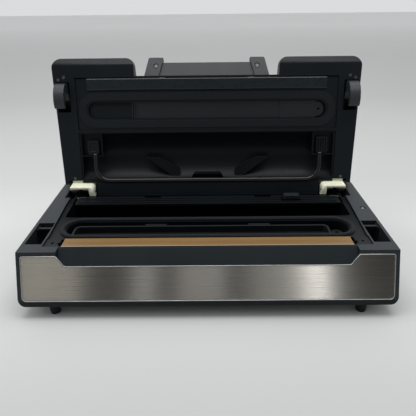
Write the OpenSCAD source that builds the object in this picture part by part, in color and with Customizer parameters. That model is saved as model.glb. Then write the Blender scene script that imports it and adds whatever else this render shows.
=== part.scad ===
// Countertop vacuum sealer with an open lid: sloped steel front, sealing strip,
// vacuum chamber between two ring gaskets, bag-roll trough with a flip-up cutter
// rail, and a lid with a raised lock handle that turns two hooks on one shaft.
// Millimetres. X to the right, Y to the back, Z up, feet standing on Z = 0.

/* [Base] */
// overall width of the base
body_w = 397; // [385:1:410]
// depth from the deck's front edge to the back wall
deck_d = 187; // [184:1:195]
// height of the base without its feet
body_h = 54; // [52:0.5:58]
// how far the front face leans forward at the bottom
front_lean = 21; // [16:1:24]
// height of the rubber feet
foot_h = 14; // [8:1:16]
// radius of the rubber feet
foot_r = 6; // [4:0.5:7]
// radius of the lower front corners
corner_r = 8; // [4:1:9]

/* [Sealing strip] */
// length of the sealing strip
strip_l = 310; // [290:1:312]
// width of the sealing strip
strip_w = 16.4; // [12:0.2:16.8]
// distance of the strip behind the deck's front edge
strip_y = 12; // [11.8:0.1:12.4]

/* [Vacuum chamber] */
// outside length of both ring gaskets
ring_l = 334; // [320:1:336]
// width of the lower gasket's limb
ring_limb = 5; // [4:0.25:6]
// width of the upper gasket's limb
lid_limb = 9.6; // [8:0.2:10.5]
// depth of the drip tray
tray_h = 10; // [8:0.5:11]
// radius of the suction port
port_r = 3; // [2:0.25:3.5]

/* [Roll trough] */
// depth of the roll trough below the deck
trough_h = 46; // [40:0.5:46]
// width of the flip-up cutter rail
rail_w = 24; // [20:0.5:24]
// thickness of the cutter rail
rail_t = 3; // [2.4:0.2:3]

/* [Lid] */
// angle between the closed and the open lid
lid_open = 102.5; // [95:0.5:104]
// overall thickness of the lid
lid_t = 27; // [26:0.5:29]
// wall thickness of the lid shell
lid_wall = 2.5; // [2:0.1:2.8]
// half width of the notch for the lock handle
notch_hw = 92.5; // [88:0.5:96]
// how far the two ears reach in front of the notch
ear_d = 22; // [18:0.5:23]

/* [Lock] */
// angle through which the lock handle is raised
lock_angle = 22; // [16:1:22]
// radius of the latch shaft
shaft_r = 3; // [2.5:0.25:3.5]
// outside width of the lock handle
handle_w = 165; // [156:1:168]
// thickness of the hooks
hook_w = 13; // [10:0.5:14]

/* [Controls] */
// radius of the push buttons
button_r = 6; // [5:0.25:6.5]
// height of the buttons above the panel
button_h = 1.6; // [1.3:0.1:2.5]

/* [Hidden] */
$fn = 48;

hw = body_w / 2;
deck_z = foot_h + body_h;          // height of the deck's front edge above the table
y_mid = 103.5;                     // half way along the whole depth, lid open
axis_y = 157;                      // hinge axis behind the deck's front edge
axis_z = -1;                       // hinge axis against the deck
slope = atan(front_lean / body_h); // lean of the front face
part_z = -body_h + 4.5;            // parting line between pan and housing
floor_z = -2;                      // sunken middle of the deck
shaft_s = 122;                     // latch shaft ahead of the hinge axis
shaft_h = 13;                      // latch shaft above the lid's underside datum
notch_s = 147.7;                   // bottom of the handle notch ahead of the axis
ear_s = notch_s + ear_d;           // front end of the ears ahead of the axis
ring_y0 = 30.2;                    // gasket front edge
ring_y1 = 74.4;                    // gasket rear edge

function arc(cx, cy, r, a0, a1, n = 6) =
  [for (i = [0 : n]) let (a = a0 + (a1 - a0) * i / n) [cx + r * cos(a), cy + r * sin(a)]];
function rr(x0, y0, x1, y1, r, n = 6) = concat(
  arc(x1 - r, y1 - r, r, 0, 90, n), arc(x0 + r, y1 - r, r, 90, 180, n),
  arc(x0 + r, y0 + r, r, 180, 270, n), arc(x1 - r, y0 + r, r, 270, 360, n));
function mir(p) = [for (i = [len(p) - 1 : -1 : 0]) [-p[i][0], p[i][1]]];
function slope_y(z) = front_lean * z / body_h;

// place in the base's frame: origin at the deck's front edge
module base_at() { translate([0, -y_mid, deck_z]) children(); }
// place in the lid's frame: origin on the hinge axis, lid drawn closed, Y = -s
module lid_at() { translate([0, axis_y - y_mid, deck_z + axis_z]) rotate([-lid_open, 0, 0]) children(); }
// place in the lock's frame: origin on the latch shaft, handle drawn pressed down
module lock_at() { lid_at() translate([0, -shaft_s, shaft_h]) rotate([-lock_angle, 0, 0]) children(); }
// extrude an outline given as [y, z] along X
module along(x0, x1, pts) { translate([x0, 0, 0]) rotate([90, 0, 90]) linear_extrude(x1 - x0) polygon(pts); }
// box between two corners
module bx(a, b) { translate(a) cube([b[0] - a[0], b[1] - a[1], b[2] - a[2]]); }
// plate with rounded corners
module slab(x0, y0, x1, y1, z0, z1, r, n = 6) { translate([0, 0, z0]) linear_extrude(z1 - z0) polygon(rr(x0, y0, x1, y1, r, n)); }
// round bar along X
module xrod(x0, x1, y, z, r) { translate([x0, y, z]) rotate([0, 90, 0]) cylinder(r = r, h = x1 - x0); }
module pair() { children(); mirror([1, 0, 0]) children(); }
// place on the sloping front face: X along the face, Z up the face from its top edge
module on_front() { base_at() rotate([-slope, 0, 0]) children(); }

// ------------------------------------------------------------------ base shells
module plan_base(z0, z1, o = 0) {
  translate([0, 0, z0]) linear_extrude(z1 - z0)
    polygon(concat([[-hw + o, -30], [hw - o, -30]],
      arc(hw - 14, deck_d - 14, 14 - o, 0, 90), arc(-hw + 14, deck_d - 14, 14 - o, 90, 180)));
}
module front_outline(o = 0, zb = 0) {
  translate([0, 210, 0]) rotate([90, 0, 0]) linear_extrude(250)
    polygon(concat([[hw - o, 10], [-hw + o, 10]],
      arc(-hw + corner_r, -body_h + corner_r + zb, corner_r - o, 180, 270),
      arc(hw - corner_r, -body_h + corner_r + zb, corner_r - o, 270, 360)));
}
module base_pan() {
  color([0.13, 0.14, 0.15]) base_at() difference() {
    intersection() {
      along(-hw, hw, [[-front_lean, -body_h], [deck_d, -body_h], [deck_d, part_z],
        [slope_y(part_z), part_z]]);
      plan_base(-body_h - 1, part_z);
      front_outline();
    }
    // inside of the pan
    bx([-hw + 9, -front_lean + 4.5, -body_h + 2.5], [hw - 9, deck_d - 9, 0]);
    // cooling slots in the floor
    for (i = [-7 : 7]) bx([i * 9 - 2, 30, -body_h - 1], [i * 9 + 2, 62, -body_h + 3]);
    // screw holes
    for (x = [-176, 176], y = [20, 150]) translate([x, y, -body_h - 1]) cylinder(r = 1.8, h = 6);
    for (x = [-176, 176], y = [20, 150]) translate([x, y, -body_h - 1]) cylinder(r = 3.6, h = 2.2);
    // spigots of the feet
    for (x = [-164, 164], y = [-11, 170]) translate([x, y, -body_h - 1]) cylinder(r = 2.5, h = 6);
  }
}
module housing_solid() {
  intersection() {
    along(-hw, hw, [[slope_y(part_z), part_z], [0, 0], [175, 0], [182, -2.5], [deck_d, -7], [deck_d, part_z]]);
    plan_base(part_z, 5);
    front_outline();
  }
}
module base_housing() {
  color([0.17, 0.18, 0.19]) base_at() difference() {
    union() {
      housing_shell();
      // bosses for the case screws
      for (x = [-176, 176]) {
        translate([x, 20, part_z]) cylinder(r = 4, h = -28 - part_z);
        translate([x, 150, part_z]) cylinder(r = 4, h = -30 - part_z);
      }
    }
    for (x = [-176, 176], y = [20, 150]) translate([x, y, -52]) cylinder(r = 1.4, h = 12);
  }
}
module housing_shell() {
  difference() {
    housing_solid();
    // bevel under the cover strip
    along(-157.2, 157.2, [[-9, 1], [10.2, 1], [10.2, -3.2], [-2.3, -14.2], [slope_y(-14.2) - 1, -14.2]]);
    // recess for the steel panel
    rotate([-slope, 0, 0]) translate([0, 0.9, 0]) rotate([90, 0, 0]) linear_extrude(4) polygon(panel_outline(0.15));
    // sunken middle of the deck
    translate([0, 0, floor_z]) linear_extrude(5)
      polygon([[-173.5, 11.2], [173.5, 11.2], [178.5, 112], [178.5, 150], [-178.5, 150], [-178.5, 112]]);
    // channel of the heater bar and its end blocks
    bx([-175, 11.6, -9], [175, 29, 0]);
    // groove of the lower gasket
    translate([0, 0, -6]) linear_extrude(6) difference() {
      polygon(rr(-ring_l / 2, ring_y0, ring_l / 2, ring_y1, (ring_y1 - ring_y0) / 2, 12));
      polygon(rr(-ring_l / 2 + ring_limb, ring_y0 + ring_limb, ring_l / 2 - ring_limb, ring_y1 - ring_limb,
        (ring_y1 - ring_y0) / 2 - ring_limb, 12));
    }
    // vacuum chamber inside the ring
    slab(-ring_l / 2 + ring_limb + 2, ring_y0 + ring_limb + 2, ring_l / 2 - ring_limb - 2, ring_y1 - ring_limb - 2,
      -14, 1, 14);
    // suction port hole
    translate([149, 54, -20]) cylinder(r = port_r + 1.5, h = 10);
    // roll trough
    slab(-171, 80, 171, 141.5, -trough_h, 1, 4);
    // front and side hollows, open below
    along(-172, 172, [[slope_y(-50) + 3.3, -52], [slope_y(-50) + 3.3, -50], [slope_y(-18) + 3.3, -18],
      [4, -12], [28, -12], [28, -17], [76.5, -17], [76.5, -52]]);
    pair() bx([172.1, -8, -52], [hw - 3, 76.5, -29]);
    pair() along(172.1, hw - 3, [[slope_y(-50) + 4.3, -52], [slope_y(-50) + 4.3, -50], [slope_y(-29) + 4.3, -29.1], [0, -29.1], [0, -52]]);
    pair() bx([174.5, 82, -52], [hw - 3, 136, -4]);
    bx([-hw + 5, 146.5, -52], [hw - 5, deck_d - 3, -31]);
    // latch pockets
    pair() bx([177, 16, -26], [195, 63, 1]);
    // hinge well behind and in front of the axis
    intersection() {
      xrod(-186, 186, axis_y, axis_z, 27);
      bx([-190, axis_y, -40], [190, 200, 20]);
    }
    xrod(-186, 186, axis_y, axis_z, 13.5);
    // pocket in front of the hinge springs
    pair() bx([175.2, 131, -13], [186, 158, 3]);
    // opening above the hinge well
    along(-186, 186, [[143.5, -1], [175, -1], [190, -1], [190, 3], [143.5, 3]]);
    bx([-186, 176, -7], [186, 200, 3]);
    // pivots of the cutter rail
    pair() xrod(170, 174.2, 139.2, -5.6, 1.6);
    // seats of the cutter rail beside the trough
    bx([-172.2, 117.6, -9.2], [172.2, 143.8, 0]);
    // lid sensor
    translate([190, 95.5, -5]) cylinder(r = 1.85, h = 7);
    translate([190, 95.5, -1]) cylinder(r = 3.4, h = 3);
    // power socket in the back wall
    bx([121, deck_d - 4, -47], [147, deck_d + 1, -33]);
  }
}
function panel_outline(o = 0) = let (
    t = -4.9 + o, m = -15.6 + o, b = -(body_h - 6.2) / cos(slope) - o, xe = 157.4, xs = 150.2, xo = hw - 5.4 + o,
    right = concat([[xs - 4, m]], arc(xs - 4, m + 5, 5, 270, 345, 5), [[xe + o, t]],
      arc(xo - 1.5, t - 1.5, 1.5, 90, 0, 3), arc(xo - 4, b + 4, 4, 360, 270, 5)))
    concat(right, mir(right));
module steel_panel() {
  color([0.72, 0.71, 0.69]) on_front() difference() {
    translate([0, 0.8, 0]) rotate([90, 0, 0]) linear_extrude(1.6) polygon(panel_outline());
    // brushed field sits inside a slim raised edge
    translate([0, -0.6, 0]) rotate([90, 0, 0]) linear_extrude(1) polygon(panel_outline(-1));
  }
}
module cover_strip() {
  color([0.14, 0.16, 0.18]) base_at() difference() {
    along(-156.6, 156.6, [[10, -0.2], [10, -2.9], [-2, -13.9], [-6.2, -13.9], [-5.9, -12.6], [8.6, -0.1]]);
    // corners fall away at both ends
    pair() along(150, 160, [[-9, -16], [-9, -6.5], [-2.4, -12], [-1.2, -15]]);
  }
}
module heater_bar() {
  color([0.85, 0.8, 0.7]) base_at() bx([-strip_l / 2, strip_y + 0.2, -9], [strip_l / 2, strip_y + strip_w - 0.2, -1.3]);
}
module heating_element() {
  color([0.75, 0.72, 0.66]) base_at() {
    bx([-strip_l / 2, 17.6, -1.3], [strip_l / 2, 20.2, -1]);
    pair() bx([strip_l / 2, 17.6, -5], [strip_l / 2 + 0.4, 20.2, -1]);
  }
}
module ptfe_strip() {
  color([0.62, 0.44, 0.25]) base_at() bx([-strip_l / 2, strip_y, -1], [strip_l / 2, strip_y + strip_w, -0.5]);
}
module strip_end_blocks() {
  color([0.3, 0.31, 0.32]) base_at() pair() difference() {
    bx([158.6, 12, -9], [174.6, 28.6, -1.2]);
    translate([166.6, 20.3, -5]) cylinder(r = 1.5, h = 5);
    bx([158, 17, -6], [160.5, 20.8, 0]);
  }
}
module ring(l, y0, y1, limb, z0, z1) {
  translate([0, 0, z0]) linear_extrude(z1 - z0) difference() {
    polygon(rr(-l / 2, y0, l / 2, y1, (y1 - y0) / 2, 12));
    polygon(rr(-l / 2 + limb, y0 + limb, l / 2 - limb, y1 - limb, (y1 - y0) / 2 - limb, 12));
  }
}
module base_gasket() {
  color([0.07, 0.07, 0.08]) base_at() {
    ring(ring_l, ring_y0, ring_y1, ring_limb, -6, 0.2);
    ring(ring_l - 2, ring_y0 + 1, ring_y1 - 1, ring_limb - 2, 0.2, 1);
  }
}
module suction_port() {
  color([0.1, 0.1, 0.11]) base_at() translate([149, 54, 0]) difference() {
    union() {
      translate([0, 0, -26]) cylinder(r = port_r + 1.4, h = 12);
      translate([0, 0, -14]) cylinder(r = port_r + 3.4, h = 4);
    }
    translate([0, 0, -27]) cylinder(r = port_r - 0.6, h = 20);
  }
}
module drip_tray() {
  color([0.12, 0.12, 0.13]) base_at() difference() {
    union() {
      slab(-152, 38.4, 138, 61, -13.6, -13.6 + tray_h, 6);
      // rim with two finger tabs on the rear side
      slab(-153, 37.6, 139, 62, -13.6 + tray_h - 1.4, -13.6 + tray_h, 6.5);
      for (x = [-60, 60]) bx([x - 12.5, 60.4, -13.6 + tray_h - 1.4], [x + 12.5, 65.5, -13.6 + tray_h]);
    }
    slab(-150.4, 40, 136.4, 59.4, -12.1, 0, 4.5);
  }
}
module rubber_feet() {
  color([0.05, 0.05, 0.05]) base_at() for (x = [-164, 164], y = [-11, 170])
    translate([x, y, -body_h - foot_h]) {
      cylinder(r1 = foot_r - 0.6, r2 = foot_r, h = foot_h);
      cylinder(r = 2.5, h = foot_h + 2.4);
    }
}
module case_screws() {
  color([0.5, 0.5, 0.5]) base_at() for (x = [-176, 176], y = [20, 150])
    translate([x, y, -body_h]) difference() {
      union() {
        translate([0, 0, -0.2]) cylinder(r = 3.4, h = 1.4);
        cylinder(r = 1.4, h = 12);
      }
      translate([0, 0, -1]) cylinder(r = 1.3, h = 1.6, $fn = 6);
    }
}
module hinge_brackets() {
  color([0.16, 0.16, 0.17]) base_at() pair() difference() {
    union() {
      // post behind the axis and a lug round the pin
      bx([166, 157.2, -27], [175, 162, -9]);
      along(169, 173, [[153.8, -9], [153.4, 1], [155, 2.8], [160, 2.8], [162, 1], [162, -20], [157.2, -20], [157.2, -9]]);
    }
    xrod(160, 180, axis_y, axis_z, 2.5);
  }
}
module hinge_pins() {
  color([0.6, 0.6, 0.58]) base_at() pair() difference() {
    xrod(151.4, 185.9, axis_y, axis_z, 2.5);
    xrod(151, 152, axis_y, axis_z, 0.8);
  }
}
module torsion_springs() {
  color([0.45, 0.46, 0.47]) base_at() pair() {
    // coils side by side on the pin with one tail down into the well
    difference() {
      for (i = [0 : 5]) xrod(175.4 + i * 1.42, 176.6 + i * 1.42, axis_y, axis_z, 5.2);
      for (i = [0 : 5]) xrod(175 + i * 1.42, 177 + i * 1.42, axis_y, axis_z, 3.4);
    }
    for (i = [0 : 4]) bx([176.4 + i * 1.42, axis_y - 0.7, axis_z + 3.5], [177 + i * 1.42, axis_y + 0.7, axis_z + 4.9]);
    bx([175.4, axis_y + 3.7, -24], [176.6, axis_y + 4.9, axis_z]);
  }
}
module latch_catches() {
  // bar across each pocket with a cheek at both ends
  color([0.55, 0.55, 0.54]) base_at() pair() {
    bx([177, 53.5, -4.6], [195, 57.5, -2.4]);
    bx([177, 50, -12], [178.4, 63, -2.4]);
    bx([193.6, 50, -12], [195, 63, -2.4]);
  }
}
// ------------------------------------------------------------------ inside the base
module pump_motors() {
  color([0.65, 0.66, 0.68]) base_at() for (x = [-120, -50]) {
    xrod(x, x + 30, 46, -34, 12);
    xrod(x + 30, x + 33, 46, -34, 4);
    // saddle down to the pan's floor
    bx([x + 4, 36, -body_h + 2.5], [x + 26, 56, -44]);
  }
}
module pump_heads() {
  color([0.2, 0.2, 0.22]) base_at() for (x = [-87, -17]) difference() {
    union() {
      bx([x, 33, -48], [x + 22, 59, -20]);
      translate([x + 11, 34, -34]) rotate([90, 0, 0]) cylinder(r = 3, h = 9);
    }
    translate([x + 11, 40, -34]) rotate([90, 0, 0]) cylinder(r = 1.5, h = 20);
  }
}
module vacuum_hose() {
  // along the front of the pumps, then back and up to the suction port
  color([0.75, 0.75, 0.72]) base_at() {
    xrod(-80, 146, 22, -34, 3.2);
    for (x = [-76, -6]) translate([x, 24.9, -34]) rotate([90, 0, 0]) cylinder(r = 2.6, h = 2.9);
    bx([145, 18.4, -37.6], [152.6, 25.6, -30.4]);
    translate([149, 51, -34]) rotate([90, 0, 0]) cylinder(r = 3, h = 26);
    bx([145.4, 50.4, -37.6], [152.6, 57.6, -30.4]);
    translate([149, 54, -31]) cylinder(r = 3, h = 5);
  }
}
module power_board() {
  color([0.1, 0.35, 0.18]) base_at() {
    bx([20, 34, -body_h + 6], [130, 74, -body_h + 7.6]);
    for (x = [24, 126], y = [38, 70]) translate([x, y, -body_h + 2.5]) cylinder(r = 2.5, h = 3.5);
    color([0.1, 0.1, 0.1]) for (x = [40, 58, 76]) bx([x, 44, -body_h + 7.6], [x + 12, 60, -body_h + 17]);
  }
}
module transformer() {
  color([0.55, 0.5, 0.42]) base_at() {
    bx([92, 40, -body_h + 7.6], [122, 68, -body_h + 28]);
    bx([89, 46, -body_h + 9.6], [125, 62, -body_h + 26]);
  }
}
module lid_switch() {
  color([0.15, 0.15, 0.16]) base_at() {
    bx([184, 88, -18], [193, 103, -10.5]);
    bx([186.5, 93.5, -10.5], [191, 97.5, -9.8]);
    bx([193, 88, -18], [hw - 3, 103, -12]);
  }
}
module sensor_pin() {
  color([0.85, 0.85, 0.84]) base_at() translate([190, 95.5, 0]) {
    translate([0, 0, -7.6]) cylinder(r = 1.8, h = 7.4);
    translate([0, 0, -7.6]) cylinder(r = 2.9, h = 1.8);
  }
}
module power_socket() {
  color([0.08, 0.08, 0.09]) base_at() difference() {
    union() {
      bx([119, deck_d, -49], [149, deck_d + 1.6, -31.2]);
      bx([121, 166, -47], [147, deck_d, -33]);
    }
    slab_y(134, -40, 17, 9, 172, deck_d + 3);
    for (x = [129.7, 138.3]) translate([x, 173, -40]) rotate([90, 0, 0]) cylinder(r = 1.26, h = 8);
  }
}
// oval bore along Y
module slab_y(x, z, w, h, y0, y1) {
  translate([x, y1, z]) rotate([90, 0, 0]) linear_extrude(y1 - y0) polygon(rr(-w / 2, -h / 2, w / 2, h / 2, h / 2 - 0.1, 8));
}
module socket_pins() {
  color([0.8, 0.75, 0.55]) base_at() for (x = [129.7, 138.3])
    translate([x, deck_d - 2, -40]) rotate([90, 0, 0]) cylinder(r = 1.2, h = deck_d - 2 - 170);
}
// ------------------------------------------------------------------ bag cutter
module cutter_rail() {
  r0 = 143 - rail_w;
  color([0.2, 0.21, 0.22]) base_at() difference() {
    union() {
      bx([-170.6, r0, -4 - rail_t], [170.6, 142, -4]);
      // guide lips along both edges of the slider's track
      bx([-166, r0 + 3.6, -4], [166, r0 + 4.8, -3]);
      bx([-166, r0 + 15.6, -4], [166, r0 + 16.8, -3]);
      // hinge knuckles
      pair() xrod(160, 170.6, 139.2, -5.6, 2.6);
    }
    // blade slot
    bx([-160, r0 + 9.4, -10], [160, r0 + 11, 0]);
    // finger notches in the rear half
    for (x = [-72.5, 72.5]) bx([x - 11, 137, -10], [x + 11, 144, 0]);
    // bores of the pivots
    pair() xrod(159, 172, 139.2, -5.6, 1.5);
  }
}
module rail_pins() {
  color([0.6, 0.6, 0.58]) base_at() pair() xrod(161, 173.6, 139.2, -5.6, 1.5);
}
module cutter_slider() {
  r0 = 143 - rail_w;
  color([0.24, 0.25, 0.26]) base_at() difference() {
    union() {
      bx([96, r0 + 5.3, -3.6], [120, r0 + 15.1, -1.4]);
      slab(98, r0 + 6, 118, r0 + 14.4, -1.4, 3.4, 3);
      for (i = [0 : 4]) bx([100.4 + i * 3.7, r0 + 6.8, 3.4], [102 + i * 3.7, r0 + 13.6, 4.2]);
    }
    // slot that grips the blade
    bx([103, r0 + 9.9, -4], [113, r0 + 10.5, 1]);
  }
}
module cutter_blade() {
  r0 = 143 - rail_w;
  color([0.82, 0.83, 0.84]) base_at() translate([0, r0 + 10.5, 0]) rotate([90, 0, 0]) linear_extrude(0.6)
    polygon([[103, 1], [113, 1], [113, -6], [108, -12], [103, -6]]);
}
// ------------------------------------------------------------------ lid
function lid_plan(o) = let (
    right = concat([[notch_hw + o, -notch_s - 0], ],
      [[notch_hw + o, -(ear_s - 10)]],
      arc(notch_hw + 10, -(ear_s - 10), 10 - o, 180, 270, 5),
      arc(197 - 12, -(ear_s - 12), 12 - o, 270, 360, 6),
      [[192.4 - o, -7.5 - o]], [[183.4 - o, -7.5 - o]],
      arc(183.4 - 7, 9 - 7, 7 - o, 0, 90, 4)))
    concat([[-notch_hw - o, -notch_s + o], [notch_hw + o, -notch_s + o]],
      [for (i = [1 : len(right) - 1]) right[i]], [for (i = [len(right) - 1 : -1 : 1]) [-right[i][0], right[i][1]]]);
function lid_side(o) = [[9 - o, 0.2], [9 - o, 15], [3 - o * 0.7, 24 - o * 0.7], [-8, lid_t - o], [-105, lid_t - o],
    [-150, 20.5 - o], [-ear_s + 2.2 + o, 12 - o * 0.5], [-ear_s + o, 5.4], [-ear_s + 8 + o, 1.6], [-10, 1.6], [-4, 0.2]];
module lid_shell() {
  color([0.09, 0.09, 0.1]) lid_at() difference() {
    intersection() {
      along(-197, 197, lid_side(0));
      translate([0, 0, -2]) linear_extrude(40) polygon(lid_plan(0));
    }
    // inside, open below
    difference() {
      intersection() {
        along(-197, 197, [[9 - lid_wall, -1], [9 - lid_wall, 14.6], [3 - lid_wall, 23.4 - lid_wall], [-8, lid_t - lid_wall],
          [-105, lid_t - lid_wall], [-150, 20.5 - lid_wall], [-ear_s + lid_wall + 4, 10.6], [-ear_s + lid_wall + 3, 5],
          [-ear_s + lid_wall + 3, -1]]);
        translate([0, 0, -2]) linear_extrude(40) polygon(lid_plan(lid_wall));
      }
      // rim of the ears stays closed below
      pair() bx([notch_hw + lid_wall, -ear_s - 1, 0], [198, -ear_s + 9, 4.1]);
    }
    // clearance round the hinges
    pair() bx([150, -13, -1], [184, 10, 15.5]);
    // slots for the two arms of the handle
    pair() bx([handle_w / 2 - 29, -notch_s - 1, 3.6], [handle_w / 2 + 0.9, -128, lid_t + 2]);
    // recess and openings for the control panel
    slab(-75, -93, 75, -57, lid_t - 0.9, lid_t + 1, 3);
    for (x = [-50, -25, 0, 25, 50]) translate([x, -82, lid_t - 4]) cylinder(r = button_r + 0.5, h = 6);
    bx([-31, -71, lid_t - 4], [31, -61, lid_t + 1]);
  }
}
module lid_frame() {
  color([0.1, 0.1, 0.11]) lid_at() difference() {
    intersection() {
      translate([0, 0, 1.6]) linear_extrude(2.4) polygon(lid_plan(lid_wall));
      bx([-200, -ear_s + 9, -1], [200, 6.2, 10]);
    }
    // opening over the chamber
    bx([-169, -146, 0], [169, -79.4, 6]);
    // opening over the roll
    bx([-169, -76.2, 0], [169, -9.6, 6]);
    // hook windows
    pair() bx([176.4, -140.6, 0], [193.6, -103, 6]);
    // hinge arms
    pair() bx([150, -12.6, 0], [187, 7, 6]);
    // slots of the handle arms
    pair() bx([handle_w / 2 - 29, -notch_s - 1, 3.2], [handle_w / 2 + 0.9, -146.5, 6]);
    // corner screws
    pair() for (p = lid_screw_xy) translate([p[0], p[1], 0]) { cylinder(r = 1.1, h = 6); cylinder(r = 2.3, h = 2.5); }
    pair() translate([179, -15.6, 0]) { cylinder(r = 1.5, h = 6); cylinder(r = 2.3, h = 2.5); }
  }
}
lid_screw_xy = [[183, -146.4], [190, -143.4]];
module lid_screws() {
  color([0.75, 0.75, 0.74]) lid_at() pair() for (p = lid_screw_xy) translate([p[0], p[1], 0]) difference() {
    union() {
      translate([0, 0, 1.5]) cylinder(r = 2, h = 1);
      translate([0, 0, 2.5]) cylinder(r = 1.1, h = 7.1);
    }
    translate([0, 0, 1]) cylinder(r = 1, h = 1, $fn = 6);
  }
}
module chamber_panel() {
  g0 = -(axis_y - ring_y0);
  g1 = -(axis_y - ring_y1);
  color([0.1, 0.1, 0.11]) lid_at() difference() {
    union() {
      bx([-168.8, -145, 3.4], [168.8, -79.6, 6.4]);
      // tabs that rest on the frame
      pair() bx([168.8, -141, 4], [172, -84, 6.4]);
      // bed under the upper gasket
      ring(ring_l - 1, g0, g1, lid_limb + 0.6, 6.4, 8);
      // bed under the press bar
      bx([-strip_l / 2 - 1.4, -145, 6.4], [strip_l / 2 + 1.4, -128, 8]);
      // wall of the suction chamber
      slab(-156, g0 + lid_limb, 156, g1 - lid_limb, 6.4, 9.4, 11.4, 8);
    }
    // groove of the upper gasket
    ring(ring_l - 4, g0 + 1.5, g1 - 1.5, lid_limb - 3, 3, 6.9);
    // groove of the press bar
    bx([-strip_l / 2 + 3, -143.4, 3], [strip_l / 2 - 3, -131.6, 6.9]);
    // suction chamber
    slab(-154.4, g0 + lid_limb + 1.6, 154.4, g1 - lid_limb - 1.6, 3, 8, 9.6, 8);
  }
}
module chamber_insert() {
  // raised floor between the cross rib and the round end of the chamber
  color([0.2, 0.2, 0.21]) lid_at() difference() {
    union() {
      bx([-94, -115.4, 6.2], [141.5, -93.8, 8]);
      bx([95.4, -115.4, 5.2], [141.5, -93.8, 6.2]);
      bx([-98, -115.4, 4.6], [-96.6, -93.8, 8]);
      bx([-95.4, -115.4, 4.6], [-94, -93.8, 8]);
      translate([142.6, -104.6, 5]) cylinder(r = 9.2, h = 3);
      translate([99, -112, 4.4]) cylinder(r = 1.8, h = 1);
    }
    translate([145, -104.6, 4]) cylinder(r = 1.6, h = 6);
    bx([120, -120, 4], [142.6, -90, 5.2]);
  }
}
module lid_gasket() {
  g0 = -(axis_y - ring_y0);
  g1 = -(axis_y - ring_y1);
  color([0.06, 0.06, 0.07]) lid_at() {
    ring(ring_l - 4, g0 + 1.5, g1 - 1.5, lid_limb - 3, 3.4, 6.9);
    ring(ring_l, g0 - 0.2, g1 + 0.2, lid_limb, 2.6, 3.4);
  }
}
module press_bar() {
  color([0.1, 0.1, 0.11]) lid_at() {
    bx([-strip_l / 2 + 3, -143.4, 3.4], [strip_l / 2 - 3, -131.6, 6.9]);
    along(-strip_l / 2 + 1, strip_l / 2 - 1, [[-145, 3.4], [-145, 2], [-144, 1], [-131.2, 1], [-130, 2], [-130, 3.4]]);
  }
}
module roll_recess() {
  cy = -45; cz = -17; ri = 36; ro = 38.4;
  color([0.13, 0.14, 0.15]) lid_at() difference() {
    union() {
      difference() {
        union() {
          bx([-168.8, -76, 2.4], [168.8, -9.8, 4.8]);
          pair() bx([168.8, -72, 4], [172, -24, 6]);
          intersection() {
            xrod(-168.8, 168.8, cy, cz, ro);
            bx([-168.8, -90, 4], [168.8, 0, 30]);
          }
        }
        xrod(-166.5, 166.5, cy, cz, ri);
      }
      // leaf-shaped rests moulded on the curved wall
      pair() intersection() {
        translate([0, 0, 6]) linear_extrude(30) polygon(fin_outline());
        xrod(10, 120, cy, cz, ri + 0.8);
      }
      // box at each end of the hollow
      pair() bx([139, -75.4, 3], [167.4, -45, 10.6]);
    }
    pair() translate([0, 0, 5]) linear_extrude(2) polygon(fin_inner());
    pair() bx([140.6, -74, 2], [166, -46.6, 9]);
    // notch under the middle of the hollow
    translate([0, 0, 2]) linear_extrude(9) polygon([[-22, -15], [-18.6, -20.6], [-14, -24.8], [-8, -27.6],
      [0, -28.6], [8, -27.6], [14, -24.8], [18.6, -20.6], [22, -15]]);
  }
}
function fin_outline() = concat([[83, -43.5], [64, -42.6], [52, -37.4]], arc(43.5, -23, 7, 235, 55, 8));
function fin_inner() = concat([[77, -40.8], [63.6, -40.6], [53, -35.6]], arc(43.9, -23.2, 5.4, 235, 55, 8));
module roll_bail() {
  // slim U-shaped bar from one end box to the other along the rear edge of the hollow
  color([0.08, 0.08, 0.09]) lid_at() translate([0, 0, -0.6]) linear_extrude(3) polygon(concat(
    [[-151.4, -49]], arc(-131.4, -30.2, 20, 180, 90, 8), arc(131.4, -30.2, 20, 90, 0, 8), [[151.4, -49], [146.6, -49]],
    arc(131.4, -30.2, 15.2, 0, 90, 8), arc(-131.4, -30.2, 15.2, 90, 180, 8), [[-146.6, -49]]));
}
module bail_blocks() {
  color([0.17, 0.18, 0.19]) lid_at() {
    difference() {
      slab(-159, -66, -144, -47.4, 2.4, 9, 2.5, 4);
      slab(-156, -63, -147, -52, 2, 3.2, 1.5, 4);
    }
    bx([144.5, -68.5, 3.8], [159.5, -47.4, 9]);
    for (i = [0 : 4]) bx([145 + i * 3, -68, 2.4], [146.6 + i * 3, -48, 3.8]);
  }
}
module hinge_arms() {
  // cream levers: a flat wing on the lid's inside and a leg with the bore for the pin
  color([0.82, 0.79, 0.7]) lid_at() pair() difference() {
    union() {
      rotate([lid_open, 0, 0]) {
        bx([158, -10.2, 5.6], [183, 8, 8]);
        along(152.6, 158.2, [[-10.2, 8], [-11.4, 2], [-9, -8], [-3, -11.2], [4, -8], [6.5, 0], [8, 8]]);
      }
      // roots that run up inside the lid
      bx([152.6, -13.4, 4.8], [169.1, -6.4, 9.6]);
      bx([169, -19, 4], [183, -6.4, 9.6]);
    }
    rotate([lid_open, 0, 0]) xrod(150, 160, 0, 0, 2.55);
    // rounded shoulder of the arch
    rotate([lid_open, 0, 0]) translate([0, 8.5, 0]) rotate([90, 0, 0]) linear_extrude(20)
      polygon([[152, 8.6], [152, 3.2], [152.6, 3.2], [153.2, 5.4], [154.9, 7.2], [157.4, 8], [157.4, 8.6]]);
    translate([179, -15.6, 3]) cylinder(r = 1.5, h = 8);
  }
}
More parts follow.
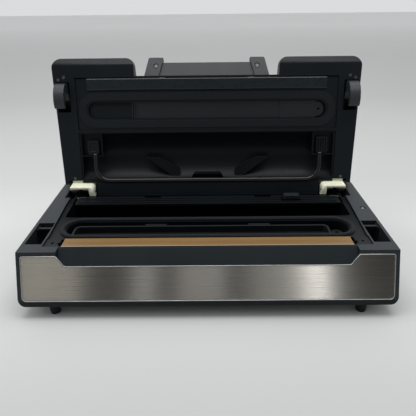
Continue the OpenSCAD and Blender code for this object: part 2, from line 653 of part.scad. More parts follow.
module arm_screws() {
  color([0.6, 0.6, 0.6]) lid_at() pair() translate([179, -15.6, 0]) difference() {
    union() {
      translate([0, 0, 1.5]) cylinder(r = 2, h = 1);
      translate([0, 0, 2.5]) cylinder(r = 1.5, h = 5.5);
    }
    translate([0, 0, 1]) cylinder(r = 1, h = 1, $fn = 6);
  }
}
module shaft_bearings() {
  color([0.14, 0.14, 0.15]) lid_at() pair() for (b = [[100, 7, 8], [163, 5.6, 6.4]]) difference() {
    bx([b[0], -shaft_s - 5.2, b[2]], [b[0] + b[1], -shaft_s + 4.6, 20.4]);
    xrod(b[0] - 1, b[0] + b[1] + 1, -shaft_s, shaft_h, shaft_r + 0.05);
  }
}
// ------------------------------------------------------------------ controls on the lid's top
module control_panel() {
  color([0.05, 0.05, 0.06]) lid_at() difference() {
    slab(-74.8, -92.8, 74.8, -57.2, lid_t - 0.9, lid_t + 0.3, 3);
    for (x = [-50, -25, 0, 25, 50]) translate([x, -82, lid_t - 4]) cylinder(r = button_r + 0.35, h = 6);
    bx([-30, -70.4, lid_t - 4], [30, -61.6, lid_t + 1]);
  }
}
module display_window() {
  color([0.1, 0.16, 0.2]) lid_at() bx([-30, -70.4, lid_t - 1.8], [30, -61.6, lid_t + 0.1]);
}
module button_board() {
  color([0.1, 0.35, 0.18]) lid_at() difference() {
    bx([-70, -91, lid_t - 6.4], [70, -58, lid_t - 5.2]);
    for (x = [-64, 64]) translate([x, -75, lid_t - 8]) cylinder(r = 1.6, h = 4);
  }
  color([0.14, 0.14, 0.15]) lid_at() for (x = [-64, 64]) difference() {
    translate([x, -75, lid_t - 5.2]) cylinder(r = 3, h = 5.2 - lid_wall);
    translate([x, -75, lid_t - 6]) cylinder(r = 1.6, h = 2);
  }
}
module button(x) {
  color([0.75, 0.76, 0.78]) lid_at() translate([x, -82, 0]) {
    translate([0, 0, lid_t - 3.9]) cylinder(r = button_r, h = 4.2 + button_h);
    translate([0, 0, lid_t - 3.9]) cylinder(r = button_r + 1.2, h = 0.9);
  }
}
module button_vacuum() { button(-50); }
module button_seal() { button(-25); }
module button_pulse() { button(0); }
module button_mode() { button(25); }
module button_cancel() { button(50); }
// ------------------------------------------------------------------ lock
module latch_shaft() {
  color([0.62, 0.62, 0.61]) lock_at() xrod(-191, 191, 0, 0, shaft_r);
}
module lock_handle() {
  a = handle_w / 2;
  color([0.22, 0.23, 0.25]) lock_at() difference() {
    union() {
      // two arms that lean towards each other at the front
      pair() translate([0, 0, -4.2]) linear_extrude(7.2)
        polygon([[a - 19, 0], [a, 0], [a, -25], [a - 6, -50.6], [a - 7.6, -52], [a - 24.6, -52], [a - 25.6, -50.8], [a - 19, -25]]);
      pair() bx([a - 19, -1, -0.5], [a, 6, 3]);
      pair() xrod(a - 27, a, 0, 0, 4.6);
      // grip bar
      along(-a + 18.5, a - 18.5, [[-46.6, -0.6], [-46.6, 1.8], [-45, 3.2], [-29.2, 3.2], [-27.6, 1.8], [-27.6, -1.4], [-45.8, -1.4]]);
    }
    xrod(-a - 1, a + 1, 0, 0, shaft_r);
    // sunk holes of the handle screws
    pair() translate([a - 15.8, -40.4, -6]) cylinder(r = 3.3, h = 3.4);
    pair() translate([a - 15.8, -40.4, -6]) cylinder(r = 1.3, h = 7.2);
  }
}
module handle_screws() {
  a = handle_w / 2;
  color([0.8, 0.8, 0.79]) lock_at() pair() translate([a - 15.8, -40.4, 0]) difference() {
    union() {
      translate([0, 0, -3.8]) cylinder(r = 2.2, h = 1.2);
      translate([0, 0, -2.8]) cylinder(r = 1.3, h = 3.6);
    }
    translate([0, 0, -4.2]) cylinder(r = 0.9, h = 0.9, $fn = 6);
  }
}
module hook() {
  // hub on the shaft, a bowed back and a toe that points to the rear
  difference() {
    union() {
      xrod(179, 179 + hook_w, 0, 0, 7);
      along(179, 179 + hook_w, [[-7, 2], [-9.5, -8], [-11, -15], [-10, -21], [-6.5, -26], [0, -28.6], [8, -28.4],
        [16, -26], [21, -22.6], [22.8, -19.4], [22, -17.6], [19, -17.4], [14, -19.6], [8, -21.6], [2, -21.4],
        [-1, -18.6], [-1.6, -14], [0, -9], [5, -5], [6.6, 2]]);
    }
    xrod(170, 195, 0, 0, shaft_r);
    // grooves across the bowed back
    for (z = [-20.5, -15, -9.5]) bx([178, -14, z], [195, -9.4, z + 1.4]);
    // hole of the grub screw
    translate([185.5, 0, 0]) cylinder(r = 1.3, h = 12);
  }
}
module hook_right() { color([0.3, 0.31, 0.33]) lock_at() hook(); }
module hook_left() { color([0.3, 0.31, 0.33]) lock_at() mirror([1, 0, 0]) hook(); }
module hook_screws() {
  color([0.75, 0.75, 0.74]) lock_at() pair() translate([185.5, 0, shaft_r]) cylinder(r = 1.3, h = 3.8);
}

base_pan();
base_housing();
steel_panel();
cover_strip();
heater_bar();
heating_element();
ptfe_strip();
strip_end_blocks();
base_gasket();
suction_port();
drip_tray();
rubber_feet();
case_screws();
hinge_brackets();
hinge_pins();
torsion_springs();
latch_catches();
pump_motors();
pump_heads();
vacuum_hose();
power_board();
transformer();
lid_switch();
sensor_pin();
power_socket();
socket_pins();
cutter_rail();
rail_pins();
cutter_slider();
cutter_blade();
lid_shell();
lid_frame();
chamber_panel();
chamber_insert();
lid_gasket();
press_bar();
roll_recess();
roll_bail();
bail_blocks();
hinge_arms();
arm_screws();
lid_screws();
shaft_bearings();
control_panel();
display_window();
button_board();
button_vacuum();
button_seal();
button_pulse();
button_mode();
button_cancel();
latch_shaft();
lock_handle();
handle_screws();
hook_left();
hook_right();
hook_screws();
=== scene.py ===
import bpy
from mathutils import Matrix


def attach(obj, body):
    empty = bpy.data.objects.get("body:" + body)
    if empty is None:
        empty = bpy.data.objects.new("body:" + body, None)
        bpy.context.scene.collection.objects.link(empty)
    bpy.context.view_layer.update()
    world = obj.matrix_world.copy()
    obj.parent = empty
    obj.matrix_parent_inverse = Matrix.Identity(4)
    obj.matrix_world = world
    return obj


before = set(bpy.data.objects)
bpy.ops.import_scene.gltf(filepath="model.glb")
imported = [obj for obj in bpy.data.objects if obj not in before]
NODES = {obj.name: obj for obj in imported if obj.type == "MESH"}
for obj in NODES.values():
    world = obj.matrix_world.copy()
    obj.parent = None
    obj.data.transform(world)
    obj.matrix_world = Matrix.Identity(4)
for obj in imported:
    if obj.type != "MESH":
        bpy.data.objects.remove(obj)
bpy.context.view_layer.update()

import math
import bpy
import bmesh
from mathutils import Matrix, Vector

scene = bpy.context.scene
R = math.radians

# ---------------------------------------------------------------- camera
cam_data = bpy.data.cameras.new("camera")
cam_data.sensor_width = 36
cam_data.lens = 37.4
cam_data.clip_start = 0.01
cam_data.clip_end = 50
cam = bpy.data.objects.new("camera", cam_data)
scene.collection.objects.link(cam)
cam.matrix_world = (Matrix.Translation((0.0036, -0.4802, 0.309)) @ Matrix.Rotation(R(0.365), 4, "Z")
                    @ Matrix.Rotation(R(63.1), 4, "X") @ Matrix.Rotation(R(-0.63), 4, "Z"))
scene.camera = cam
scene.view_settings.view_transform = "Standard"
scene.view_settings.look = "None"
scene.view_settings.exposure = 0
scene.view_settings.gamma = 1


# ---------------------------------------------------------------- node helpers
class Mat:
    """A small builder round one material's node tree."""

    def __init__(self, name):
        self.m = bpy.data.materials.new(name)
        self.m.use_nodes = True
        self.t = self.m.node_tree
        self.bsdf = self.t.nodes["Principled BSDF"]
        self.coord = self.t.nodes.new("ShaderNodeTexCoord").outputs["Object"]

    def new(self, kind, **props):
        n = self.t.nodes.new(kind)
        for k, v in props.items():
            setattr(n, k, v)
        return n

    def link(self, a, b):
        self.t.links.new(a, b)

    def set(self, **values):
        for k, v in values.items():
            self.bsdf.inputs[k.replace("_", " ")].default_value = v

    def mapped(self, scale=(1, 1, 1), rot=(0, 0, 0), loc=(0, 0, 0)):
        n = self.new("ShaderNodeMapping")
        n.inputs["Scale"].default_value = scale
        n.inputs["Rotation"].default_value = rot
        n.inputs["Location"].default_value = loc
        self.link(self.coord, n.inputs["Vector"])
        return n.outputs["Vector"]

    def noise(self, scale, detail=2, rough=0.5, vec=None, distort=0.0):
        n = self.new("ShaderNodeTexNoise")
        n.inputs["Scale"].default_value = scale
        n.inputs["Detail"].default_value = detail
        n.inputs["Roughness"].default_value = rough
        n.inputs["Distortion"].default_value = distort
        self.link(vec or self.coord, n.inputs["Vector"])
        return n.outputs["Fac"]

    def voronoi(self, scale, vec=None, feature="F1", rand=1.0):
        n = self.new("ShaderNodeTexVoronoi", feature=feature)
        n.inputs["Scale"].default_value = scale
        n.inputs["Randomness"].default_value = rand
        self.link(vec or self.coord, n.inputs["Vector"])
        return n.outputs["Distance"]

    def ramp(self, fac, stops):
        n = self.new("ShaderNodeValToRGB")
        e = n.color_ramp.elements
        while len(e) > 1:
            e.remove(e[0])
        e[0].position, e[0].color = stops[0][0], (*stops[0][1], 1)
        for p, c in stops[1:]:
            s = e.new(p)
            s.color = (*c, 1)
        self.link(fac, n.inputs["Fac"])
        return n.outputs["Color"]

    def range(self, fac, lo, hi, a=0.0, b=1.0):
        n = self.new("ShaderNodeMapRange")
        n.inputs["From Min"].default_value = a
        n.inputs["From Max"].default_value = b
        n.inputs["To Min"].default_value = lo
        n.inputs["To Max"].default_value = hi
        self.link(fac, n.inputs["Value"])
        return n.outputs["Result"]

    def math(self, op, a, b=None):
        n = self.new("ShaderNodeMath", operation=op)
        for i, v in enumerate((a, b)):
            if v is None:
                continue
            if isinstance(v, (int, float)):
                n.inputs[i].default_value = v
            else:
                self.link(v, n.inputs[i])
        return n.outputs[0]

    def mix(self, fac, a, b, blend="MIX"):
        n = self.new("ShaderNodeMix", data_type="RGBA", blend_type=blend)
        for sock, v in ((n.inputs["Factor"], fac), (n.inputs[6], a), (n.inputs[7], b)):
            if isinstance(v, (int, float)):
                sock.default_value = v
            elif isinstance(v, tuple):
                sock.default_value = (*v, 1)
            else:
                self.link(v, sock)
        return n.outputs[2]

    def bump(self, layers):
        """layers: (height, strength, distance in metres), chained from the first to the last."""
        normal = None
        for h, strength, dist in layers:
            n = self.new("ShaderNodeBump")
            n.inputs["Strength"].default_value = strength
            n.inputs["Distance"].default_value = dist
            self.link(h, n.inputs["Height"])
            if normal is not None:
                self.link(normal, n.inputs["Normal"])
            normal = n.outputs["Normal"]
        self.link(normal, self.bsdf.inputs["Normal"])

    def color(self, sock):
        self.link(sock, self.bsdf.inputs["Base Color"])

    def rough(self, sock):
        self.link(sock, self.bsdf.inputs["Roughness"])

    def xyz(self):
        n = self.new("ShaderNodeSeparateXYZ")
        self.link(self.coord, n.inputs[0])
        return n.outputs


def scaled(c, k):
    return tuple(min(1.0, v * k) for v in c)


def moulded(name, col, rough, spec, grain=2600, grain_strength=0.25, spread=0.14, coat=0.0, coat_rough=0.2, deck=False):
    """Moulded plastic: spark-eroded grain, slow cloudy variation, faint rub marks and settled dust."""
    m = Mat(name)
    cloud = m.noise(9, 4, 0.6)
    speck = m.noise(grain * 0.5, 2, 0.7)
    base = m.ramp(cloud, [(0.25, scaled(col, 1 - spread)), (0.75, scaled(col, 1 + spread))])
    rub = m.noise(60, 3, 0.7, vec=m.mapped((1, 0.15, 1)))
    base = m.mix(m.range(rub, 0, 0.18, 0.58, 0.8), base, scaled(col, 1.7))
    base = m.mix(m.range(speck, 0, 0.12, 0.35, 0.7), base, scaled(col, 1.35))
    if deck:
        # painted shade: the sunken middle of the deck and everything below it is painted near-black, strongest towards
        # the back
        x, y, z = m.xyz()
        low = m.math("LESS_THAN", z, 0.0673)
        inner = m.math("LESS_THAN", m.math("ABSOLUTE", x), 0.1788)
        behind = m.math("GREATER_THAN", y, -0.0935)
        deck_shade_mask = m.math("MULTIPLY", m.math("MULTIPLY", low, inner), behind)
        deck_shade_mask = m.math("MULTIPLY", deck_shade_mask, m.range(y, 0.62, 1.0, -0.0935, -0.02))
        base = m.mix(deck_shade_mask, base, (0.0035, 0.0052, 0.0072))
    m.color(base)
    m.rough(m.math("ADD", m.range(cloud, rough - 0.05, rough + 0.05, 0.2, 0.8), m.range(rub, -0.04, 0.05)))
    if deck:
        # the painted shade also lowers the specular level there
        m.link(m.range(deck_shade_mask, spec, 0.07), m.bsdf.inputs["Specular IOR Level"])
    else:
        m.set(Specular_IOR_Level=spec)
    if coat:
        m.set(Coat_Weight=coat, Coat_Roughness=coat_rough)
    cell = m.voronoi(grain)
    m.bump([(m.noise(26, 2), 0.05, 0.0004), (cell, grain_strength, 0.00006), (speck, grain_strength * 0.6, 0.00004)])
    return m.m


MATS = {}
MATS["black_case"] = moulded("black_case", (0.009, 0.011, 0.013), 0.42, 0.32)
# deck=True gives grey_case painted shade in the deck's sunken middle
MATS["grey_case"] = moulded("grey_case", (0.021, 0.026, 0.031), 0.44, 0.42, deck=True)
MATS["lid_black"] = moulded("lid_black", (0.0052, 0.0078, 0.0105), 0.40, 0.26, grain=3200, grain_strength=0.18)
MATS["cover_satin"] = moulded("cover_satin", (0.011, 0.0165, 0.019), 0.40, 0.20, grain=3600, grain_strength=0.12)
MATS["gloss_black"] = moulded("gloss_black", (0.008, 0.009, 0.011), 0.12, 0.5, grain=900, grain_strength=0.02, coat=0.4, coat_rough=0.05)
MATS["key_grey"] = moulded("key_grey", (0.35, 0.36, 0.38), 0.48, 0.4, grain=3000, grain_strength=0.15, spread=0.05)
MATS["heater_block"] = moulded("heater_block", (0.50, 0.44, 0.34), 0.55, 0.4, grain=1800, spread=0.08)


def brushed_steel():
    m = Mat("steel_brushed")
    fine = m.noise(1, 3, 0.7, vec=m.mapped((14, 9000, 9000)))
    mid = m.noise(1, 2, 0.6, vec=m.mapped((5, 4200, 4200)))
    long = m.noise(1, 1, 0.5, vec=m.mapped((1.5, 900, 900)))
    stain = m.noise(14, 4, 0.6)
    lines = m.math("ADD", m.math("MULTIPLY", fine, 0.6), m.math("MULTIPLY", mid, 0.4))
    col = m.ramp(lines, [(0.30, (0.098, 0.095, 0.088)), (0.50, (0.122, 0.118, 0.109)), (0.70, (0.150, 0.146, 0.136))])
    col = m.mix(m.range(long, 0, 0.12, 0.35, 0.75), col, (0.105, 0.100, 0.090))
    col = m.mix(m.range(stain, 0, 0.12, 0.5, 0.8), col, (0.14, 0.128, 0.105))
    m.color(col)
    m.rough(m.math("ADD", m.range(lines, 0.20, 0.30, 0.3, 0.7), m.range(stain, -0.02, 0.04)))
    m.set(Metallic=1.0, Anisotropic=0.9, Anisotropic_Rotation=0.0)
    tan = m.new("ShaderNodeTangent", direction_type="RADIAL", axis="X")
    m.link(tan.outputs[0], m.bsdf.inputs["Tangent"])
    m.bump([(fine, 0.05, 0.00004), (mid, 0.025, 0.00005)])
    return m.m


def plain_metal(name, col, rough, brush=(900, 900, 900)):
    m = Mat(name)
    n = m.noise(1, 3, 0.65, vec=m.mapped(brush))
    stain = m.noise(120, 3, 0.6)
    c = m.ramp(n, [(0.3, scaled(col, 0.82)), (0.7, scaled(col, 1.1))])
    m.color(m.mix(m.range(stain, 0, 0.3, 0.5, 0.8), c, scaled(col, 0.6)))
    m.rough(m.range(n, rough - 0.06, rough + 0.08, 0.3, 0.7))
    m.set(Metallic=1.0)
    m.bump([(n, 0.12, 0.00003)])
    return m.m


MATS["steel_brushed"] = brushed_steel()
MATS["steel_plain"] = plain_metal("steel_plain", (0.42, 0.42, 0.41), 0.42)
MATS["spring_steel"] = plain_metal("spring_steel", (0.34, 0.34, 0.35), 0.34)
MATS["motor_metal"] = plain_metal("motor_metal", (0.55, 0.55, 0.56), 0.30, brush=(60, 1500, 1500))
MATS["copper"] = plain_metal("copper", (0.55, 0.30, 0.14), 0.30, brush=(60, 60, 2600))
MATS["brass_pin"] = plain_metal("brass_pin", (0.66, 0.55, 0.30), 0.22)
MATS["screw_dark"] = plain_metal("screw_dark", (0.20, 0.20, 0.21), 0.34)
MATS["steel_bead"] = plain_metal("steel_bead", (0.72, 0.73, 0.72), 0.34, brush=(60, 900, 900))


def ptfe():
    """Non-stick glass cloth: a fine plain weave, heat-darkened over the element and slightly rippled."""
    m = Mat("ptfe_tan")
    x, y, z = m.xyz()
    warp = m.math("SINE", m.math("MULTIPLY", x, 2 * math.pi / 0.0011))
    weft = m.math("SINE", m.math("MULTIPLY", y, 2 * math.pi / 0.0009))
    weave = m.math("MULTIPLY", warp, weft)
    fac = m.range(weave, 0, 1, -1, 1)
    col = m.ramp(fac, [(0.0, (0.18, 0.092, 0.022)), (0.5, (0.27, 0.145, 0.040)), (1.0, (0.37, 0.215, 0.070))])
    blotch = m.noise(38, 4, 0.65, vec=m.mapped((0.4, 2.5, 1)))
    col = m.mix(m.range(blotch, 0, 0.45, 0.45, 0.75), col, (0.34, 0.215, 0.09))
    # the two slightly darker lines at the element's edges, and the scorch over it
    off = m.math("ABSOLUTE", m.math("SUBTRACT", y, -0.0846))
    line = m.math("LESS_THAN", m.math("ABSOLUTE", m.math("SUBTRACT", off, 0.0017)), 0.00025)
    col = m.mix(m.math("MULTIPLY", line, 0.5), col, (0.10, 0.055, 0.02))
    over = m.range(off, 0.30, 0.0, 0.0, 0.0022)
    col = m.mix(over, col, (0.17, 0.095, 0.032))
    # painted highlight: a pale band along the folded front edge
    col = m.mix(m.math("MULTIPLY", m.math("LESS_THAN", y, -0.0908), 0.85), col, (0.66, 0.60, 0.48))
    m.color(col)
    m.rough(m.range(fac, 0.46, 0.34))
    m.set(Specular_IOR_Level=0.55)
    m.bump([(blotch, 0.35, 0.0004), (fac, 0.35, 0.00006)])
    return m.m


MATS["ptfe_tan"] = ptfe()


def foam():
    """Closed-cell silicone foam with a fine skin."""
    m = Mat("rubber_black")
    pores = m.voronoi(1500, feature="SMOOTH_F1")
    pit = m.voronoi(520)
    n = m.noise(300, 3, 0.6)
    m.color(m.ramp(m.math("ADD", m.math("MULTIPLY", pores, 0.5), m.math("MULTIPLY", n, 0.5)),
                   [(0.2, (0.003, 0.0045, 0.0065)), (0.5, (0.0055, 0.0080, 0.0110)), (0.8, (0.0095, 0.013, 0.017))]))
    m.rough(m.range(n, 0.62, 0.80, 0.3, 0.7))
    m.set(Specular_IOR_Level=0.22, Sheen_Weight=0.05, Sheen_Roughness=0.5)
    m.bump([(n, 0.15, 0.0002), (pit, 0.3, 0.0001), (pores, 0.35, 0.00008)])
    return m.m


MATS["rubber_black"] = foam()


def silicone():
    m = Mat("silicone")
    x, y, z = m.xyz()
    n = m.noise(180, 3, 0.6)
    knurl = m.math("SINE", m.math("MULTIPLY", x, 2 * math.pi / 0.0016))
    m.color(m.ramp(n, [(0.3, (0.0065, 0.0105, 0.0135)), (0.7, (0.0105, 0.016, 0.020))]))
    m.rough(m.range(n, 0.26, 0.34, 0.3, 0.7))
    m.set(Specular_IOR_Level=0.34, Coat_Weight=0.35, Coat_Roughness=0.12)
    m.bump([(n, 0.10, 0.0002), (knurl, 0.05, 0.00008)])
    return m.m


MATS["silicone"] = silicone()


def nylon():
    """Cream glass-filled nylon, a little yellowed, with fine fibre streaks."""
    m = Mat("nylon_cream")
    n = m.noise(70, 4, 0.6)
    fibre = m.noise(1, 2, 0.6, vec=m.mapped((300, 2200, 900)))
    col = m.ramp(n, [(0.25, (0.80, 0.80, 0.60)), (0.55, (0.90, 0.90, 0.71)), (0.8, (0.93, 0.93, 0.78))])
    m.color(m.mix(m.range(fibre, 0, 0.3, 0.5, 0.75), col, (0.78, 0.77, 0.58)))
    m.rough(m.range(n, 0.42, 0.56, 0.3, 0.7))
    m.set(Specular_IOR_Level=0.45, Subsurface_Weight=0.12, Subsurface_Scale=0.002)
    m.bump([(n, 0.15, 0.0004), (fibre, 0.2, 0.00005)])
    return m.m


MATS["nylon_cream"] = nylon()


def board():
    """Green circuit board with a laid-out pattern of copper tracks and pads."""
    m = Mat("board_green")
    x, y, z = m.xyz()
    grid = m.voronoi(260, rand=0.4)
    tracks = m.noise(1, 1, 0.3, vec=m.mapped((70, 420, 420)))
    col = m.mix(m.range(tracks, 0, 1, 0.52, 0.54), (0.010, 0.075, 0.028), (0.020, 0.14, 0.055))
    col = m.mix(m.math("LESS_THAN", grid, 0.18), col, (0.45, 0.42, 0.34))
    m.color(col)
    m.rough(m.range(tracks, 0.25, 0.4, 0.4, 0.6))
    m.bump([(tracks, 0.3, 0.00005)])
    return m.m


MATS["board_green"] = board()


def hose():
    m = Mat("hose_clear")
    n = m.noise(90, 3, 0.6)
    m.color(m.ramp(n, [(0.3, (0.42, 0.41, 0.37)), (0.7, (0.56, 0.55, 0.50))]))
    m.rough(m.range(n, 0.2, 0.32, 0.3, 0.7))
    m.set(Transmission_Weight=0.25, Subsurface_Weight=0.2, Subsurface_Scale=0.004)
    m.bump([(n, 0.1, 0.0003)])
    return m.m


MATS["hose_clear"] = hose()


def window():
    m = Mat("window_dark")
    n = m.noise(60, 3, 0.6)
    m.color(m.ramp(n, [(0.3, (0.006, 0.010, 0.013)), (0.7, (0.009, 0.015, 0.019))]))
    m.rough(m.range(n, 0.05, 0.11, 0.3, 0.7))
    m.set(Coat_Weight=0.5, Coat_Roughness=0.04)
    m.bump([(n, 0.03, 0.0002)])
    return m.m


MATS["window_dark"] = window()


# ---------------------------------------------------------------- CAD nodes: rounded edges and finishes
SMALL = {"case_screws", "lid_screws", "arm_screws", "handle_screws", "hook_screws", "socket_pins", "rail_pins",
         "hinge_pins", "sensor_pin", "latch_shaft", "cutter_blade", "torsion_springs"}
EDGE = {
    "base_housing": 0.0007, "base_pan": 0.0006, "lid_shell": 0.0014, "lock_handle": 0.001,
    "cover_strip": 0.0009, "press_bar": 0.001, "hook_left": 0.0008, "hook_right": 0.0008,
    "steel_panel": 0.0004, "roll_bail": 0.0013, "base_gasket": 0.0014, "lid_gasket": 0.001,
    "ptfe_strip": 0.00015, "roll_recess": 0.0007, "strip_end_blocks": 0.0004, "hinge_arms": 0.0006,
    "rubber_feet": 0.0007, "chamber_insert": 0.0006, "lid_frame": 0.0007, "cutter_rail": 0.0006,
}
for name, o in NODES.items():
    slot = o.data.materials[0].name.split(".")[0]
    o.data.materials[0] = MATS[slot]
    for p in o.data.polygons:
        p.use_smooth = True
    w = o.modifiers.new("weld", "WELD")
    w.merge_threshold = 2e-6
    if name != "cover_strip":
        d = o.modifiers.new("planar", "DECIMATE")
        d.decimate_type = "DISSOLVE"
        d.angle_limit = R(0.6)
    width = EDGE.get(name, 0.0002 if name in SMALL else 0.0004)
    b = o.modifiers.new("bevel", "BEVEL")
    b.width = width
    b.segments = 1 if name in SMALL else 4 if name in ("roll_bail", "base_gasket") else 3 if name in ("press_bar", "lid_gasket", "lid_shell", "lock_handle") else 2
    b.limit_method = "ANGLE"
    b.angle_limit = R(34)
    b.use_clamp_overlap = True
    b.harden_normals = False
    n = o.modifiers.new("normals", "WEIGHTED_NORMAL")
    n.keep_sharp = False

# ---------------------------------------------------------------- painted shadow band and rolled bead round the steel panel
YM = 0.1035          # front edge of the deck lies this far ahead of the frame's origin
DZ = 0.068           # height of the deck's front edge
SLOPE = math.atan2(21, 54)


def arc(cx, cy, r, a0, a1, n):
    return [(cx + r * math.cos(R(a0 + (a1 - a0) * i / n)), cy + r * math.sin(R(a0 + (a1 - a0) * i / n))) for i in range(n + 1)]


def panel_outline(o=0.0):
    """Edge of the steel panel in millimetres: X along the front, Z up the sloping face from the deck's edge."""
    t, m, b = -4.9 + o, -15.6 + o, -(54 - 6.2) / math.cos(SLOPE) - o
    xe, xs, xo = 157.4, 150.2, 198.5 - 5.4 + o
    right = ([(xs - 4, m)] + arc(xs - 4, m + 5, 5, 270, 345, 8) + [(xe + o, t)]
             + arc(xo - 1.5, t - 1.5, 1.5, 90, 0, 4) + arc(xo - 4, b + 4, 4, 360, 270, 8))
    return right + [(-x, z) for x, z in reversed(right)]


def face_point(x, z, out):
    """Millimetres on the sloping face to metres in the frame; out is how far the point stands proud."""
    c, k = math.cos(SLOPE), math.sin(SLOPE)
    y = -out * c + z * k
    h = out * k + z * c
    return Vector((x / 1000, y / 1000 - YM, h / 1000 + DZ))


def inset(pts, d):
    """The closed outline moved inwards by d along its corner bisectors."""
    res = []
    n = len(pts)
    for i in range(n):
        p0, p1, p2 = (Vector(pts[j % n]) for j in (i - 1, i, i + 1))
        a, b = (p1 - p0), (p2 - p1)
        if a.length < 1e-6 or b.length < 1e-6:
            res.append(tuple(p1))
            continue
        a.normalize()
        b.normalize()
        na, nb = Vector((-a.y, a.x)), Vector((-b.y, b.x))
        k = na + nb
        k = k / max(0.35, k.length_squared / 2) if k.length > 1e-6 else na
        res.append(tuple(p1 + k * d))
    return res


def clean(pts):
    out = []
    for p in pts:
        if not out or (Vector(p) - Vector(out[-1])).length > 0.02:
            out.append(p)
    return out


def swept(name, pts, profile, body, mat):
    """A closed band that follows pts; profile gives (inset, proud) for each corner of its section."""
    loops = [inset(pts, q[0]) for q in profile]
    mesh = bpy.data.meshes.new(name)
    n, k = len(pts), len(profile)
    verts = [face_point(loops[j][i][0], loops[j][i][1], profile[j][1]) for i in range(n) for j in range(k)]
    faces = [(i * k + j, i * k + (j + 1) % k, ((i + 1) % n) * k + (j + 1) % k, ((i + 1) % n) * k + j)
             for i in range(n) for j in range(k)]
    mesh.from_pydata(verts, [], faces)
    bm = bmesh.new()
    bm.from_mesh(mesh)
    bmesh.ops.recalc_face_normals(bm, faces=bm.faces)
    bm.to_mesh(mesh)
    bm.free()
    for p in mesh.polygons:
        p.use_smooth = True
    mesh.materials.append(mat)
    o = bpy.data.objects.new(name, mesh)
    scene.collection.objects.link(o)
    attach(o, body)
    return o


outline = clean(panel_outline())
bead_profile = [(0.55 + 0.36 * math.cos(R(a)), 0.72 + 0.34 * math.sin(R(a))) for a in range(0, 360, 30)]
swept("panel_bead", outline, bead_profile, "base", MATS["steel_bead"])
# painted shadow: a gloss-black band standing just proud round the panel's edge takes the place of the dark groove line
# there
swept("panel_shadow_band", clean(panel_outline(0.0)), [(-0.05, 0.10), (-0.3, 0.32), (-1.9, 0.32), (-2.15, -0.15), (-0.05, -0.15)],
      "base", MATS["gloss_black"])

# ---------------------------------------------------------------- studio
world = bpy.data.worlds.new("studio")
scene.world = world
world.use_nodes = True
wt = world.node_tree
bg = wt.nodes["Background"]
wc = wt.nodes.new("ShaderNodeTexCoord")
sep = wt.nodes.new("ShaderNodeSeparateXYZ")
wt.links.new(wc.outputs["Generated"], sep.inputs[0])
ry = wt.nodes.new("ShaderNodeMapRange")
ry.interpolation_type = "SMOOTHSTEP"
ry.inputs["From Min"].default_value = -0.95
ry.inputs["From Max"].default_value = 0.35
ry.inputs["To Min"].default_value = 0.0
ry.inputs["To Max"].default_value = 1.0
wt.links.new(sep.outputs[1], ry.inputs["Value"])
wr = wt.nodes.new("ShaderNodeValToRGB")
wr.color_ramp.elements[0].position = 0.0
wr.color_ramp.elements[0].color = (0.15, 0.152, 0.15, 1)
wr.color_ramp.elements[1].position = 1.0
wr.color_ramp.elements[1].color = (0.70, 0.715, 0.725, 1)
wt.links.new(ry.outputs["Result"], wr.inputs["Fac"])
wt.links.new(wr.outputs["Color"], bg.inputs["Color"])
bg.inputs["Strength"].default_value = 1.0


def area(name, loc, target, size, power, color=(1, 1, 1)):
    d = bpy.data.lights.new(name, "AREA")
    d.shape = "RECTANGLE"
    d.size, d.size_y = size
    d.energy = power
    d.color = color
    o = bpy.data.objects.new(name, d)
    scene.collection.objects.link(o)
    o.location = loc
    o.rotation_mode = "QUATERNION"
    o.rotation_quaternion = (Vector(target) - Vector(loc)).to_track_quat("-Z", "Y")
    o.visible_camera = False
    return o


area("softbox_top", (0.0, 0.25, 1.7), (0, 0, 0), (1.5, 1.0), 14)
area("softbox_left", (-1.5, -0.5, 1.1), (0, 0, 0.1), (0.9, 0.9), 3.0)
top = area("front_top", (0.0, -0.64, 1.62), (0, 0.02, 0.15), (1.8, 0.34), 12)
upper = bpy.data.collections.new("top_receivers")
for k in ("lid_shell", "lid_frame", "lock_handle", "press_bar", "roll_bail", "hinge_arms", "lid_gasket", "base_gasket",
          "chamber_panel", "hook_left", "hook_right", "bail_blocks"):
    upper.objects.link(NODES[k])
top.light_linking.receiver_collection = upper
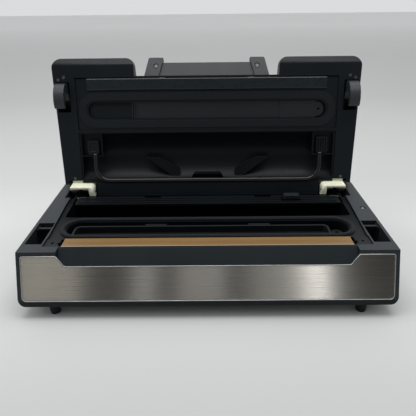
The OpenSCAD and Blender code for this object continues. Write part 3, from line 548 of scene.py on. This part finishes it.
# tall strips in front of the object, seen only in the brushed panel
strips = bpy.data.collections.new("strip_receivers")
strips.objects.link(NODES["steel_panel"])
BANDS = ((-0.80, 0.22, 1.9, (1.0, 0.97, 0.90)), (-0.63, 0.035, 0.8, (1.0, 0.96, 0.90)), (-0.30, 0.06, 0.9, (1, 1, 1)),
         (-0.09, 0.10, 0.8, (1, 0.96, 0.95)), (0.02, 0.05, 0.7, (1, 1, 1)), (0.27, 0.20, 1.1, (1, 0.99, 0.95)),
         (0.44, 0.10, 1.5, (1, 1, 1)), (0.485, 0.030, 3.2, (1, 1, 1)))
for k, (xl, wid, pw, tint) in enumerate(BANDS):
    b = area("band_%d" % k, (xl, -1.6, 0.25), (xl * 0.23, -0.1, 0.04), (wid, 0.9), pw, tint)
    b.light_linking.receiver_collection = strips

bm = bmesh.new()
bmesh.ops.create_grid(bm, x_segments=1, y_segments=1, size=6)
me = bpy.data.meshes.new("floor")
bm.to_mesh(me)
bm.free()
floor = bpy.data.objects.new("floor", me)
scene.collection.objects.link(floor)
fm = Mat("floor_pale")
fx, fy, fz = fm.xyz()
# painted light and shade: the floor's colour steps lighter and darker with distance behind the object, standing in for
# the wall and for how the lamps' light falls off
away = fm.range(fy, 0.0, 1.0, -0.5, 4.5)
PAINTED_FLOOR_LIGHT = [(0.0, 0.62), (0.05, 0.64), (0.07, 0.735), (0.118, 0.80), (0.15, 0.685), (0.28, 0.58), (0.44, 0.65), (0.86, 0.94)]
soft = fm.noise(1.4, 2, 0.5)
one = fm.ramp(away, [(k, (v, v * 1.008, v * 0.992)) for k, v in PAINTED_FLOOR_LIGHT])
two = fm.ramp(away, [(k, (v * 1.03, v * 1.038, v * 1.026)) for k, v in PAINTED_FLOOR_LIGHT])
fm.color(fm.mix(fm.range(soft, 0, 1, 0.3, 0.7), one, two))
fm.rough(fm.range(soft, 0.5, 0.6))
fm.set(Specular_IOR_Level=0.25)
fm.bump([(fm.noise(700, 3, 0.6), 0.05, 0.0002)])
me.materials.append(fm.m)
